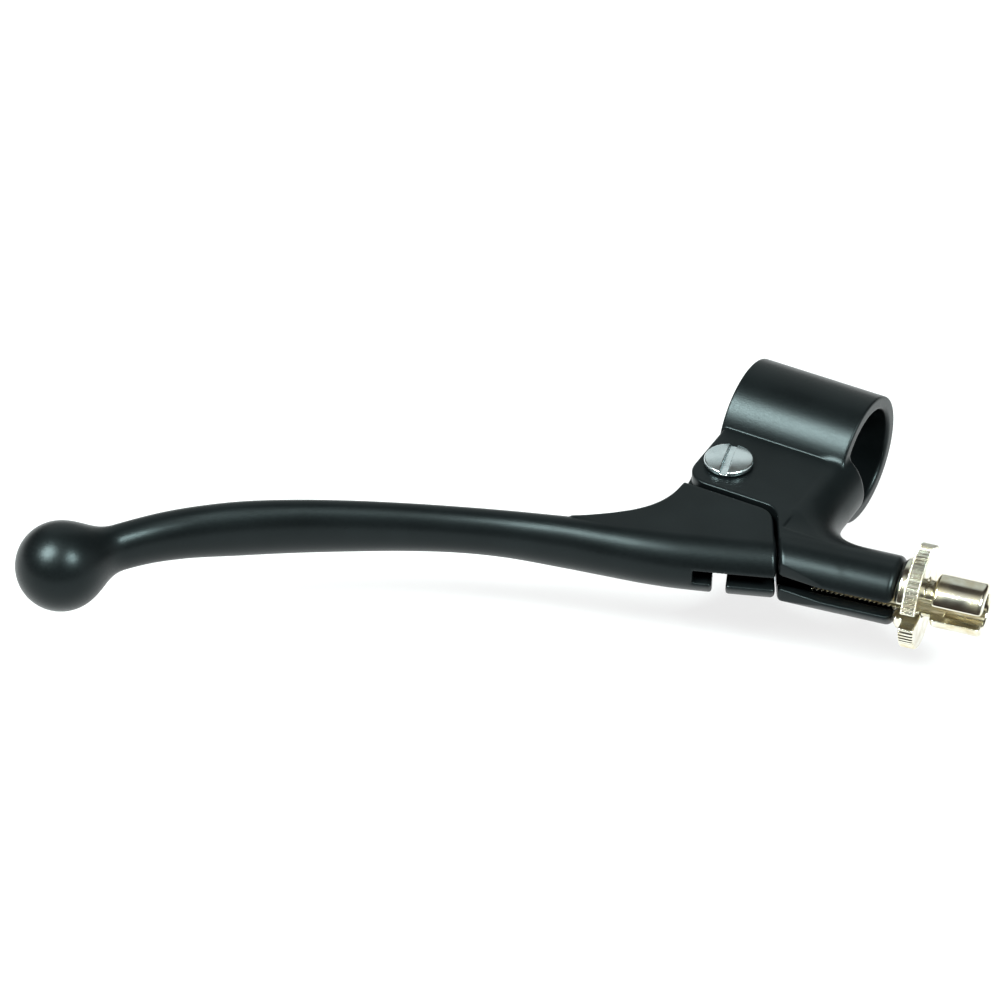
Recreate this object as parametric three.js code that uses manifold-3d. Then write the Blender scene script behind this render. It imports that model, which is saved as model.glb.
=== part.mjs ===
// Motorcycle clutch lever and perch for a 22.2 mm handlebar, in millimetres.
// Origin: centre of the handlebar bore. +X runs along the bar towards the cable adjuster,
// +Y points from the lever towards the bar, +Z points along the pivot towards the slotted head.

import * as THREE from 'three';
import { mergeVertices } from 'three/addons/utils/BufferGeometryUtils.js';
import Module from 'manifold-3d';

const wasm = await Module();
wasm.setup();

// ---------------------------------------------------------------- driving dimensions

const GAP = 0.3; // between pieces that touch on the real object
const OVERCUT = 4; // how far a cutting tool runs past the face it starts from

// Handlebar clamp
const BAR_R = 11.1;
const CLAMP_WALL = 3.0;
const CLAMP_WIDTH = 28.4;
const CLAMP_R = BAR_R + CLAMP_WALL;
const CLAMP_END_X = CLAMP_WIDTH / 2;
const CLAMP_SLIT = 1.8;

// Perch body
const PLATE_HALF = 6.8;
const SIDE_INSET = 2.0; // the round right side is centred this far inside the clamp's end
const SIDE_X = CLAMP_END_X - SIDE_INSET;

// Lever pivot
const PIVOT_X = -7.1;
const PIVOT_OFFSET = 9.2; // from the clamp's outer surface to the pivot axis
const PIVOT_Y = -(CLAMP_R + PIVOT_OFFSET);
const PIVOT_R = 2.95;
const PIVOT_HEAD_R = 5.2;
const PIVOT_RIM = 1.0;
const PIVOT_DOME = 0.8;
const BUSH_WALL = 1.2;
const BUSH_R = PIVOT_R + GAP + BUSH_WALL;
const PIVOT_NUT_FLATS = 10;
const PIVOT_NUT_H = 5.2;
const INSERT_WALL = 1.1;
const INSERT_H = 1.1;

// Fork of the perch and tongue of the lever
const TONGUE_HALF = 3.4;
const TONGUE_R = 7.3;
const FORK_CLEAR = 0.45; // above and below the tongue
const FORK_HALF = TONGUE_HALF + FORK_CLEAR;
const FORK_R = TONGUE_R + 1.1;
const LUG_LEFT = 6.2; // from the pivot axis to the left edge of the lug
const LUG_FRONT = 8.6; // from the pivot axis to the front edge of the lug
const LUG_CORNER_R = 5.0;
const STEP_GAP = 1.0; // between the lug's front edge and the lever's step

// Stop face, where the lever's end rests by the adjuster boss
const STOP_TOP = [17.0, -11.8]; // from the pivot axis
const STOP_ANGLE = THREE.MathUtils.degToRad(-62.1);
const STOP_GAP = 0.6;

// Cable adjuster and its boss
const ADJUST_END = [45.7, -13.5]; // centre of the boss's outer end, from the pivot axis
const ADJUST_ANGLE = THREE.MathUtils.degToRad(9);
const BOSS_R = 7.4;
const BOSS_EDGE = 1.4;
const BOSS_LENGTH = 34;
const BOSS_SLOT = 3.5;
const THREAD_R = 3.95;
const THREAD_LENGTH = 18; // inside the boss
const ADJUST_SLOT = 3.3;
const ADJUST_SLOT_TURN = THREE.MathUtils.degToRad(5); // its slot looks this far up from the front
const CABLE_R = 1.6;
const COLLAR_R = 7.4;
const COLLAR_LENGTH = 2.5;
const WHEEL_R = 10.85;
const WHEEL_LENGTH = 3.2;
const WHEEL_RIBS = 66;
const RIB_DEPTH = 0.3;
const NECK_LENGTH = 1.8;
const BARREL_R = 5.6;
const BARREL_LENGTH = 10.6;
const BARREL_EDGE = 0.9;
const SOCKET_R = 3.5;
const SOCKET_DEPTH = 8.0;

// Clamp screw, under the body
const EAR_WIDTH = 12.4;
const EAR_RIGHT = 1.3; // from the ear's right side to the clamp's end
const EAR_X = CLAMP_END_X - EAR_RIGHT - EAR_WIDTH / 2;
const EAR_LENGTH = 8.0; // from the clamp's outer surface forwards
const EAR_FRONT_Y = -(CLAMP_R + EAR_LENGTH);
const SCREW_R = 2.95;
const SCREW_Y = -(CLAMP_R + 3.1);
const SCREW_DEPTH = 9.5; // how far the thread enters the body
const SCREW_HEAD_FLATS = 10;
const SCREW_HEAD_H = 4.0;
const WASHER_R = 6.0;
const WASHER_H = 1.2;
const SPRING_WASHER_R = 5.2;
const SPRING_WASHER_H = 1.6;
const SPRING_WASHER_SPLIT = 1.0;

// Lever
const ROOT_HALF = 6.5;
const FRONT_R = 6.5;
const BALL_R = 9.4;
const BALL = [-107.8, -89.5]; // from the pivot axis
const NIPPLE_FROM_STOP = 11.9; // cable nipple pocket, from the boss's stop face
const NIPPLE_R = 4.1;
const NIPPLE_TOP = 4.6;
const LEVER_SLOT = 3.0;
const LEVER_SLOT_LEFT = 5.35; // from the slit's middle to the slot's left end
const LEVER_SLIT = 2.9;
const SLIT_ANGLE = THREE.MathUtils.degToRad(-68);

// Blade sections from the stop end to the ball: [x, y, half width, half height], from the pivot
const BLADE = [
  [26.0, -16.1, FRONT_R, ROOT_HALF],
  [5.2, -24.0, FRONT_R, ROOT_HALF],
  [-4.0, -27.2, 6.1, 6.4],
  [-12.9, -29.9, 5.3, 6.1],
  [-21.5, -32.4, 4.6, 5.8],
  [-32.9, -35.8, 4.2, 5.3],
  [-42.9, -39.6, 4.1, 5.2],
  [-52.9, -44.2, 4.1, 5.5],
  [-62.9, -49.4, 4.2, 5.9],
  [-72.9, -55.1, 4.3, 6.2],
  [-82.9, -61.6, 4.5, 6.2],
  [-92.4, -69.0, 4.4, 5.6],
  [-99.6, -77.0, 4.2, 5.2],
  [BALL[0], BALL[1], 4.6, 5.2],
];

// Facets
const FINE = 64;
const COARSE = 32;
const BLADE_FACETS = 24;

// ---------------------------------------------------------------- small helpers

const pivotFrame = new THREE.Matrix4().makeTranslation(PIVOT_X, PIVOT_Y, 0);

// Adjuster frame: local X along the cable, origin at the centre of the boss's outer end.
const adjustFrame = new THREE.Matrix4()
  .makeTranslation(PIVOT_X + ADJUST_END[0], PIVOT_Y + ADJUST_END[1], 0)
  .multiply(new THREE.Matrix4().makeRotationZ(ADJUST_ANGLE));

// Stop frame: origin on the stop face's top corner, local X along the face towards the front,
// local Y pointing into the boss.
const stopFrame = pivotFrame
  .clone()
  .multiply(new THREE.Matrix4().makeTranslation(STOP_TOP[0], STOP_TOP[1], 0))
  .multiply(new THREE.Matrix4().makeRotationZ(STOP_ANGLE));

function signedVolume(position, index) {
  const [a, b, c] = [new THREE.Vector3(), new THREE.Vector3(), new THREE.Vector3()];
  let volume = 0;
  for (let i = 0; i < index.length; i += 3) {
    a.fromBufferAttribute(position, index[i]);
    b.fromBufferAttribute(position, index[i + 1]);
    c.fromBufferAttribute(position, index[i + 2]);
    volume += a.dot(b.cross(c));
  }
  return volume;
}

// Turn a closed three.js geometry into a manifold solid, placed by a matrix.
function solid(geometry, matrix) {
  const bare = geometry.clone();
  bare.deleteAttribute('normal');
  bare.deleteAttribute('uv');
  if (matrix) bare.applyMatrix4(matrix);
  const merged = mergeVertices(bare, 1e-4);
  const source = merged.index.array;
  const triangles = [];
  for (let i = 0; i < source.length; i += 3) {
    const [a, b, c] = [source[i], source[i + 1], source[i + 2]];
    if (a !== b && b !== c && c !== a) triangles.push(a, b, c);
  }
  if (signedVolume(merged.attributes.position, triangles) < 0) triangles.reverse();
  return new wasm.Manifold(new wasm.Mesh({
    numProp: 3,
    vertProperties: new Float32Array(merged.attributes.position.array),
    triVerts: new Uint32Array(triangles),
  }));
}

const join = (first, ...rest) => rest.reduce((sum, item) => sum.add(item), first);
const cut = (first, ...rest) => rest.reduce((sum, item) => sum.subtract(item), first);

// A plan outline extruded from one height to another.
function prism(shape, bottom, top, matrix) {
  const geometry = new THREE.ExtrudeGeometry(shape, {
    depth: top - bottom,
    bevelEnabled: false,
    curveSegments: COARSE,
  });
  geometry.translate(0, 0, bottom);
  return solid(geometry, matrix);
}

function polygon(points) {
  return new THREE.Shape(points.map(([x, y]) => new THREE.Vector2(x, y)));
}

function block(low, high, matrix) {
  const size = high.map((value, i) => value - low[i]);
  const geometry = new THREE.BoxGeometry(...size);
  geometry.translate(...low.map((value, i) => value + size[i] / 2));
  return solid(geometry, matrix);
}

// A turned shape: the profile is [radius, height] pairs from one end of the axis to the other.
function turned(profile, segments = FINE) {
  return new THREE.LatheGeometry(profile.map(([r, h]) => new THREE.Vector2(r, h)), segments);
}

const rod = (radius, from, to) => [[0, from], [radius, from], [radius, to], [0, to]];
const turnedUp = (profile, matrix, segments) =>
  solid(turned(profile, segments).rotateX(Math.PI / 2), matrix);
const turnedAlongX = (profile, matrix, segments) =>
  solid(turned(profile, segments).rotateZ(-Math.PI / 2), matrix);

function hexPrism(acrossFlats, bottom, top, matrix) {
  const radius = acrossFlats / Math.sqrt(3);
  return turnedUp(rod(radius, bottom, top), matrix, 6);
}

// A round bar bent along a curve in the XY plane, with an elliptical section that varies.
function bentBar(stations, matrix) {
  const path = new THREE.CatmullRomCurve3(stations.map(([x, y]) => new THREE.Vector3(x, y, 0)));
  const sizes = new THREE.CatmullRomCurve3(stations.map(([, , w, h]) => new THREE.Vector3(w, h, 0)));
  const geometry = new THREE.CylinderGeometry(1, 1, 1, BLADE_FACETS, 3 * (stations.length - 1));
  const position = geometry.attributes.position;
  for (let i = 0; i < position.count; i += 1) {
    const t = 0.5 - position.getY(i);
    const centre = path.getPoint(t);
    const along = path.getTangent(t);
    const size = sizes.getPoint(t);
    const side = position.getX(i) * size.x;
    position.setXYZ(
      i,
      centre.x - along.y * side,
      centre.y + along.x * side,
      position.getZ(i) * size.y,
    );
  }
  return solid(geometry, matrix);
}

const material = (color, roughness, metalness) =>
  new THREE.MeshStandardMaterial({ color, roughness, metalness });

const group = new THREE.Group();

function addPiece(name, shape, look) {
  const mesh = shape.getMesh();
  const geometry = new THREE.BufferGeometry();
  geometry.setAttribute('position', new THREE.BufferAttribute(mesh.vertProperties, mesh.numProp));
  geometry.setIndex(new THREE.BufferAttribute(mesh.triVerts, 1));
  geometry.computeVertexNormals();
  const piece = new THREE.Mesh(geometry, look);
  piece.name = name;
  group.add(piece);
}

// ---------------------------------------------------------------- perch

// Where the cable axis crosses the stop face, as a distance along the adjuster axis.
function stopDistance() {
  const inAdjust = stopFrame.clone().premultiply(adjustFrame.clone().invert());
  const corner = new THREE.Vector3().applyMatrix4(inAdjust);
  const angle = STOP_ANGLE - ADJUST_ANGLE;
  return corner.x - corner.y / Math.tan(angle);
}

const STOP_X = stopDistance();
const onCable = (distance) => new THREE.Vector3(distance, 0, 0).applyMatrix4(adjustFrame);

function plateOutline() {
  const stopOnCable = onCable(STOP_X);
  const boss = onCable(-BOSS_EDGE);
  const left = PIVOT_X - LUG_LEFT;
  const front = PIVOT_Y - LUG_FRONT;
  const stop = new THREE.Vector2(PIVOT_X + STOP_TOP[0], PIVOT_Y + STOP_TOP[1]);
  const shape = new THREE.Shape();
  shape.moveTo(left, -BAR_R / 2);
  shape.lineTo(left, front + LUG_CORNER_R);
  shape.absarc(left + LUG_CORNER_R, front + LUG_CORNER_R, LUG_CORNER_R, Math.PI, 1.5 * Math.PI, false);
  shape.lineTo(stop.x - 4.2, front);
  shape.quadraticCurveTo(stop.x - 1.6, front, stop.x, stop.y);
  shape.lineTo(stopOnCable.x, stopOnCable.y);
  shape.lineTo(boss.x, boss.y);
  shape.lineTo(SIDE_X, boss.y);
  shape.lineTo(SIDE_X, -BAR_R / 2);
  shape.closePath();
  return shape;
}

function forkSpace() {
  const reach = LUG_FRONT + OVERCUT;
  const outline = polygon([
    [-FORK_R - OVERCUT, 0],
    [FORK_R, 0],
    [STOP_TOP[0] - 1.8, -LUG_FRONT + 0.6],
    [STOP_TOP[0] - 1.8, -reach],
    [-FORK_R - OVERCUT, -reach],
  ]);
  return join(
    turnedUp(rod(FORK_R, -FORK_HALF, FORK_HALF), pivotFrame),
    prism(outline, -FORK_HALF, FORK_HALF, pivotFrame),
  );
}

function boss() {
  const tip = BOSS_R - BOSS_EDGE;
  const round = [];
  for (let i = 0; i <= 4; i += 1) {
    const angle = (i / 4) * (Math.PI / 2);
    round.push([tip + BOSS_EDGE * Math.cos(angle), -BOSS_EDGE + BOSS_EDGE * Math.sin(angle)]);
  }
  return turnedAlongX([[0, -BOSS_LENGTH], [BOSS_R, -BOSS_LENGTH], ...round, [0, 0]], adjustFrame);
}

// The round right side, from the bore to the boss.
function roundSide() {
  const length = -PIVOT_Y - ADJUST_END[1] + Math.sin(ADJUST_ANGLE) * (CLAMP_WIDTH - SIDE_INSET);
  const bar = turnedUp(rod(PLATE_HALF, BAR_R / 2, length), new THREE.Matrix4()
    .makeTranslation(SIDE_X, 0, 0)
    .multiply(new THREE.Matrix4().makeRotationX(Math.PI / 2)), COARSE);
  const leftHalf = block(
    [SIDE_X - 2 * PLATE_HALF, -2 * length, -2 * PLATE_HALF],
    [SIDE_X - 0.01, 0, 2 * PLATE_HALF],
  );
  return cut(bar, leftHalf);
}

function clampEar() {
  const left = EAR_X - EAR_WIDTH / 2;
  const right = EAR_X + EAR_WIDTH / 2;
  const corner = 3;
  const shape = new THREE.Shape();
  shape.moveTo(left, -BAR_R / 4);
  shape.lineTo(left, EAR_FRONT_Y + corner);
  shape.absarc(left + corner, EAR_FRONT_Y + corner, corner, Math.PI, 1.5 * Math.PI, false);
  shape.absarc(right - corner, EAR_FRONT_Y + corner, corner, 1.5 * Math.PI, 2 * Math.PI, false);
  shape.lineTo(right, -BAR_R / 4);
  shape.closePath();
  return prism(shape, -CLAMP_R, -PLATE_HALF - CLAMP_SLIT);
}

function perch() {
  const ring = turnedAlongX(rod(CLAMP_R, -CLAMP_END_X, CLAMP_END_X));
  const beyondStop = block(
    [-BOSS_LENGTH, -BOSS_LENGTH, -2 * BOSS_R],
    [BOSS_LENGTH, 0, 2 * BOSS_R],
    stopFrame,
  );
  const body = join(
    ring,
    prism(plateOutline(), -PLATE_HALF, PLATE_HALF),
    cut(join(roundSide(), boss()), beyondStop),
    clampEar(),
  );

  const bore = turnedAlongX(rod(BAR_R, -3 * CLAMP_WIDTH, 3 * CLAMP_WIDTH));
  const slit = block(
    [-CLAMP_WIDTH, -CLAMP_R - EAR_LENGTH - OVERCUT, -PLATE_HALF - CLAMP_SLIT],
    [CLAMP_WIDTH, -BAR_R / 3, -PLATE_HALF],
  );
  const pivotHole = turnedUp(rod(PIVOT_R + GAP, -2 * PLATE_HALF, 2 * PLATE_HALF), pivotFrame, COARSE);
  const threadHole = turnedAlongX(rod(THREAD_R + GAP, -BOSS_LENGTH, OVERCUT), adjustFrame, COARSE);
  const cableSlot = block(
    [-BOSS_LENGTH, -2 * BOSS_R, -BOSS_SLOT / 2],
    [OVERCUT, 0, BOSS_SLOT / 2],
    adjustFrame,
  );
  const screwTop = -PLATE_HALF + SCREW_DEPTH + GAP;
  const screwHole = turnedUp(
    rod(SCREW_R + GAP, -2 * CLAMP_R, screwTop),
    new THREE.Matrix4().makeTranslation(EAR_X, SCREW_Y, 0),
    COARSE,
  );
  return cut(body, bore, slit, forkSpace(), pivotHole, threadHole, cableSlot, screwHole);
}

// ---------------------------------------------------------------- lever

function rootOutline() {
  const step = -(LUG_FRONT + STEP_GAP);
  const stopDir = [Math.cos(STOP_ANGLE), Math.sin(STOP_ANGLE)];
  const end = [STOP_TOP[0] + stopDir[1] * STOP_GAP, STOP_TOP[1] - stopDir[0] * STOP_GAP];
  const endAt = (y) => end[0] + ((y - end[1]) * stopDir[0]) / stopDir[1];
  const shape = new THREE.Shape();
  shape.moveTo(-LUG_LEFT + 0.6, step);
  shape.lineTo(endAt(step) - 3.2, step);
  shape.quadraticCurveTo(endAt(step) - 0.4, step, endAt(step - 3), step - 3);
  shape.lineTo(endAt(BLADE[0][1] - 2.5), BLADE[0][1] - 2.5);
  for (const [x, y] of BLADE.slice(1, 5)) {
    shape.lineTo(x, y);
  }
  shape.lineTo(-22.2, -29.4);
  shape.bezierCurveTo(-11.8, -25.6, -5.9, -19.6, -LUG_LEFT + 0.5, step - 2);
  shape.closePath();
  return shape;
}

function tongue() {
  const reach = -(LUG_FRONT + STEP_GAP + 1);
  const web = polygon([
    [-TONGUE_R + 0.1, -1],
    [-LUG_LEFT + 0.6, reach],
    [STOP_TOP[0] - 3.8, reach],
    [TONGUE_R * 0.96, 2],
  ]);
  return join(
    turnedUp(rod(TONGUE_R, -TONGUE_HALF, TONGUE_HALF), pivotFrame),
    prism(web, -TONGUE_HALF, TONGUE_HALF, pivotFrame),
  );
}

function lever() {
  const nipple = onCable(STOP_X - NIPPLE_FROM_STOP);
  const nippleFrame = new THREE.Matrix4().makeTranslation(nipple.x, nipple.y, 0);
  const ball = solid(
    new THREE.SphereGeometry(BALL_R, COARSE, COARSE / 2),
    pivotFrame.clone().multiply(new THREE.Matrix4().makeTranslation(BALL[0], BALL[1], 0)),
  );
  const beyondEnd = block([-50, -STOP_GAP, -50], [50, 50, 50], stopFrame);
  const solidLever = cut(
    join(bentBar(BLADE, pivotFrame), prism(rootOutline(), -ROOT_HALF, ROOT_HALF, pivotFrame)),
    beyondEnd,
  );
  const body = join(solidLever, ball, tongue());

  const pivotHole = turnedUp(rod(BUSH_R + GAP, -2 * ROOT_HALF, 2 * ROOT_HALF), pivotFrame, COARSE);
  const pocket = turnedUp(rod(NIPPLE_R, -2 * ROOT_HALF, NIPPLE_TOP), nippleFrame, COARSE);
  const slitFrame = nippleFrame
    .clone()
    .multiply(new THREE.Matrix4().makeRotationZ(SLIT_ANGLE + Math.PI / 2));
  const cableSlot = block(
    [-LEVER_SLOT_LEFT, -3 * FRONT_R, -LEVER_SLOT / 2],
    [3 * NIPPLE_FROM_STOP, LEVER_SLOT / 2, LEVER_SLOT / 2],
    slitFrame,
  );
  const slit = block(
    [-LEVER_SLIT / 2, -3 * FRONT_R, -2 * ROOT_HALF],
    [LEVER_SLIT / 2, 0, 0],
    slitFrame,
  );
  return cut(body, pivotHole, pocket, cableSlot, slit);
}

// ---------------------------------------------------------------- pivot hardware

const PIVOT_HEAD_Z = PLATE_HALF + GAP;
const NUT_TOP = -PLATE_HALF - GAP;
const NUT_BOTTOM = NUT_TOP - PIVOT_NUT_H;

function pivotScrew() {
  const rim = PIVOT_HEAD_Z + PIVOT_RIM;
  const profile = [
    [0, NUT_BOTTOM - 0.8],
    [PIVOT_R - 0.5, NUT_BOTTOM - 0.8],
    [PIVOT_R, NUT_BOTTOM - 0.3],
    [PIVOT_R, PIVOT_HEAD_Z],
    [PIVOT_HEAD_R, PIVOT_HEAD_Z],
    [PIVOT_HEAD_R, rim],
  ];
  for (let i = 1; i <= 5; i += 1) {
    const angle = (i / 5) * (Math.PI / 2);
    profile.push([PIVOT_HEAD_R * Math.cos(angle), rim + PIVOT_DOME * Math.sin(angle)]);
  }
  const slot = block(
    [-0.75, -2 * PIVOT_HEAD_R, rim - 0.4],
    [0.75, 2 * PIVOT_HEAD_R, rim + 2 * PIVOT_DOME],
    pivotFrame.clone().multiply(new THREE.Matrix4().makeRotationZ(THREE.MathUtils.degToRad(13))),
  );
  return cut(turnedUp(profile, pivotFrame), slot);
}

function sleeve(outer, inner, bottom, top, matrix) {
  const wall = [[inner, bottom], [outer, bottom], [outer, top], [inner, top], [inner, bottom]];
  return turnedUp(wall, matrix, COARSE);
}

function pivotNut() {
  const hole = turnedUp(rod(PIVOT_R + GAP, NUT_BOTTOM - OVERCUT, NUT_TOP + OVERCUT), pivotFrame, COARSE);
  const seat = turnedUp(
    rod(PIVOT_R + INSERT_WALL + 2 * GAP, NUT_BOTTOM - OVERCUT, NUT_BOTTOM + INSERT_H + GAP),
    pivotFrame,
    COARSE,
  );
  return cut(hexPrism(PIVOT_NUT_FLATS, NUT_BOTTOM, NUT_TOP, pivotFrame), hole, seat);
}

function pivotNutInsert() {
  return sleeve(PIVOT_R + INSERT_WALL + GAP, PIVOT_R + GAP, NUT_BOTTOM, NUT_BOTTOM + INSERT_H, pivotFrame);
}

// ---------------------------------------------------------------- clamp hardware

const screwFrame = new THREE.Matrix4().makeTranslation(EAR_X, SCREW_Y, 0);
const WASHER_TOP = -CLAMP_R - GAP;
const SPRING_TOP = WASHER_TOP - WASHER_H - GAP;
const HEAD_TOP = SPRING_TOP - SPRING_WASHER_H - GAP;

function clampScrew() {
  return join(
    turnedUp(rod(SCREW_R, HEAD_TOP - 1, -PLATE_HALF + SCREW_DEPTH), screwFrame, COARSE),
    hexPrism(SCREW_HEAD_FLATS, HEAD_TOP - SCREW_HEAD_H, HEAD_TOP, screwFrame),
  );
}

function clampWasher() {
  return sleeve(WASHER_R, SCREW_R + GAP, WASHER_TOP - WASHER_H, WASHER_TOP, screwFrame);
}

function clampSpringWasher() {
  const ring = sleeve(SPRING_WASHER_R, SCREW_R + GAP, SPRING_TOP - SPRING_WASHER_H, SPRING_TOP, screwFrame);
  const split = block(
    [0, -SPRING_WASHER_SPLIT / 2, SPRING_TOP - 2 * SPRING_WASHER_H],
    [2 * SPRING_WASHER_R, SPRING_WASHER_SPLIT / 2, SPRING_TOP + SPRING_WASHER_H],
    screwFrame,
  );
  return cut(ring, split);
}

// ---------------------------------------------------------------- cable adjuster

const WHEEL_FROM = COLLAR_LENGTH;
const WHEEL_TO = WHEEL_FROM + WHEEL_LENGTH;
const BARREL_FROM = WHEEL_TO + NECK_LENGTH;
const BARREL_TO = BARREL_FROM + BARREL_LENGTH;

// The cable slot through a turned piece, from its axis to the front.
function adjusterSlot() {
  return block(
    [-2 * THREAD_LENGTH, -2 * WHEEL_R, -ADJUST_SLOT / 2],
    [2 * BARREL_TO, 0, ADJUST_SLOT / 2],
    adjustFrame.clone().multiply(new THREE.Matrix4().makeRotationX(-ADJUST_SLOT_TURN)),
  );
}

function adjusterScrew() {
  const body = turnedAlongX([
    [0, -THREAD_LENGTH],
    [THREAD_R, -THREAD_LENGTH],
    [THREAD_R, BARREL_FROM],
    [BARREL_R, BARREL_FROM],
    [BARREL_R, BARREL_TO - BARREL_EDGE],
    [BARREL_R - BARREL_EDGE, BARREL_TO],
    [0, BARREL_TO],
  ], adjustFrame, COARSE);
  const wire = turnedAlongX(rod(CABLE_R, -2 * THREAD_LENGTH, 2 * BARREL_TO), adjustFrame, COARSE);
  const socket = turnedAlongX(rod(SOCKET_R, BARREL_TO - SOCKET_DEPTH, 2 * BARREL_TO), adjustFrame, COARSE);
  return cut(body, wire, socket, adjusterSlot());
}

function lockWheel() {
  const collar = turnedAlongX([
    [0, GAP],
    [COLLAR_R - 0.7, GAP],
    [COLLAR_R, GAP + 0.7],
    [COLLAR_R, WHEEL_FROM + 0.5],
    [0, WHEEL_FROM + 0.5],
  ], adjustFrame, COARSE);
  const rim = new THREE.Shape();
  for (let i = 0; i < 2 * WHEEL_RIBS; i += 1) {
    const angle = (i / WHEEL_RIBS) * Math.PI;
    const radius = WHEEL_R - (i % 2) * RIB_DEPTH;
    const [x, y] = [radius * Math.cos(angle), radius * Math.sin(angle)];
    if (i === 0) rim.moveTo(x, y);
    else rim.lineTo(x, y);
  }
  rim.closePath();
  const wheelFrame = adjustFrame.clone().multiply(new THREE.Matrix4().makeRotationY(Math.PI / 2));
  const wheel = prism(rim, WHEEL_FROM, WHEEL_TO, wheelFrame);
  const hole = turnedAlongX(rod(THREAD_R + GAP, -OVERCUT, WHEEL_TO + OVERCUT), adjustFrame, COARSE);
  return cut(join(collar, wheel), hole, adjusterSlot());
}

// ---------------------------------------------------------------- assembly

const blackPaint = () => material(0x1e2426, 0.45, 0.0);
const zinc = () => material(0xc8d2d4, 0.28, 1.0);
const nickel = () => material(0xd6d0bf, 0.18, 1.0);

addPiece('perch_body', perch(), blackPaint());
addPiece('lever_blade', lever(), blackPaint());
addPiece(
  'pivot_bush',
  sleeve(BUSH_R, PIVOT_R + GAP, -TONGUE_HALF, TONGUE_HALF, pivotFrame),
  material(0xb08a4a, 0.35, 1.0),
);
addPiece('pivot_screw', pivotScrew(), zinc());
addPiece('pivot_nut', pivotNut(), zinc());
addPiece('pivot_nut_insert', pivotNutInsert(), material(0x2f5fa8, 0.5, 0.0));
addPiece('clamp_screw', clampScrew(), zinc());
addPiece('clamp_washer', clampWasher(), zinc());
addPiece('clamp_spring_washer', clampSpringWasher(), zinc());
addPiece('adjuster_screw', adjusterScrew(), nickel());
addPiece('lock_wheel', lockWheel(), nickel());

export default group;
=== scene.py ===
# Motorcycle clutch lever and perch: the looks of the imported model.
# Shapes are worked out in millimetres as distance fields, meshed, and placed in metres.

import math

import bpy
import numpy as np
import openvdb
from mathutils import Matrix, Vector

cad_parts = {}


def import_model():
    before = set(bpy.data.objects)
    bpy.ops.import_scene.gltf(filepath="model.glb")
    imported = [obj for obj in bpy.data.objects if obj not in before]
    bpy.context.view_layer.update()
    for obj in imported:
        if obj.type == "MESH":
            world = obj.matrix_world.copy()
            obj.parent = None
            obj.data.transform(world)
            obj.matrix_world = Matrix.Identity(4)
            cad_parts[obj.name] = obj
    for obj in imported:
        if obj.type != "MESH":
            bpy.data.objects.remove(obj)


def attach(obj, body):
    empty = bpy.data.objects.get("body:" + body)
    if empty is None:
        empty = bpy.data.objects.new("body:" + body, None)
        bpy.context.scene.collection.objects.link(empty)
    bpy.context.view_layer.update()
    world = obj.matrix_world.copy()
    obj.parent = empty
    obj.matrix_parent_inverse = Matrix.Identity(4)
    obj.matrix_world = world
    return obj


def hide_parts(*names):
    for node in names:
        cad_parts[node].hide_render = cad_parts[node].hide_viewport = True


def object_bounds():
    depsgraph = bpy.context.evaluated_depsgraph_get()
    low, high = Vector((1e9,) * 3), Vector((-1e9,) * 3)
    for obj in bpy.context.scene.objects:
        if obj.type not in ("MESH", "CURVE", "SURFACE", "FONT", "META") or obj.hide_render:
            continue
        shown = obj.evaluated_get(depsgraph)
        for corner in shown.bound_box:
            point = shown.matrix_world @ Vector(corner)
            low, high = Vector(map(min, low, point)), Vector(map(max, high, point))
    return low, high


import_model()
cad_box = [list(corner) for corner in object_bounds()]

MM = 0.001

# ---------------------------------------------------------------- sizes, in mm, as in the CAD model

GAP = 0.3

BAR_R = 11.1
CLAMP_R = 14.1
CLAMP_END = 14.2
CLAMP_SLIT = 1.8

PLATE_HALF = 6.8
SIDE_X = 12.2

PIVOT = (-7.1, -23.3)
PIVOT_R = 2.95
PIVOT_HEAD_R = 5.2
PIVOT_HEAD_Z = PLATE_HALF + GAP
PIVOT_RIM = 1.0
PIVOT_DOME = 0.8
PIVOT_SLOT_TURN = math.radians(13)
PIVOT_SLOT_HALF = 0.75
PIVOT_SLOT_DEPTH = 0.5
BUSH_R = 4.45
NUT_FLATS = 10
NUT_TOP = -PLATE_HALF - GAP
NUT_BOTTOM = NUT_TOP - 5.2
INSERT_R = 4.35
INSERT_H = 1.1
NUT_NECK_H = 1.3

TONGUE_HALF = 3.4
TONGUE_R = 7.3
FORK_HALF = 3.85
FORK_R = 8.4
LUG_LEFT = 6.2
LUG_FRONT = 8.6
LUG_CORNER_R = 5.0
STEP_GAP = 1.0

STOP_TOP = (17.0, -11.8)
STOP_ANGLE = math.radians(-62.1)
STOP_GAP = 0.6

ADJUST_END = (PIVOT[0] + 45.7, PIVOT[1] - 13.5)
ADJUST_ANGLE = math.radians(9)
BOSS_R = 7.4
BOSS_SLOT = 3.5
THREAD_R = 3.95
THREAD_LENGTH = 18.0
THREAD_PITCH = 1.0
ADJUST_SLOT = 3.3
ADJUST_SLOT_TURN = math.radians(5)
CABLE_R = 1.6
COLLAR_R = 7.4
COLLAR_LENGTH = 2.5
WHEEL_R = 10.85
WHEEL_TO = 5.7
WHEEL_RIBS = 66
BARREL_FROM = 7.5
BARREL_TO = 18.1
BARREL_R = 5.6
SOCKET_R = 3.5
SOCKET_DEPTH = 8.0

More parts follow.
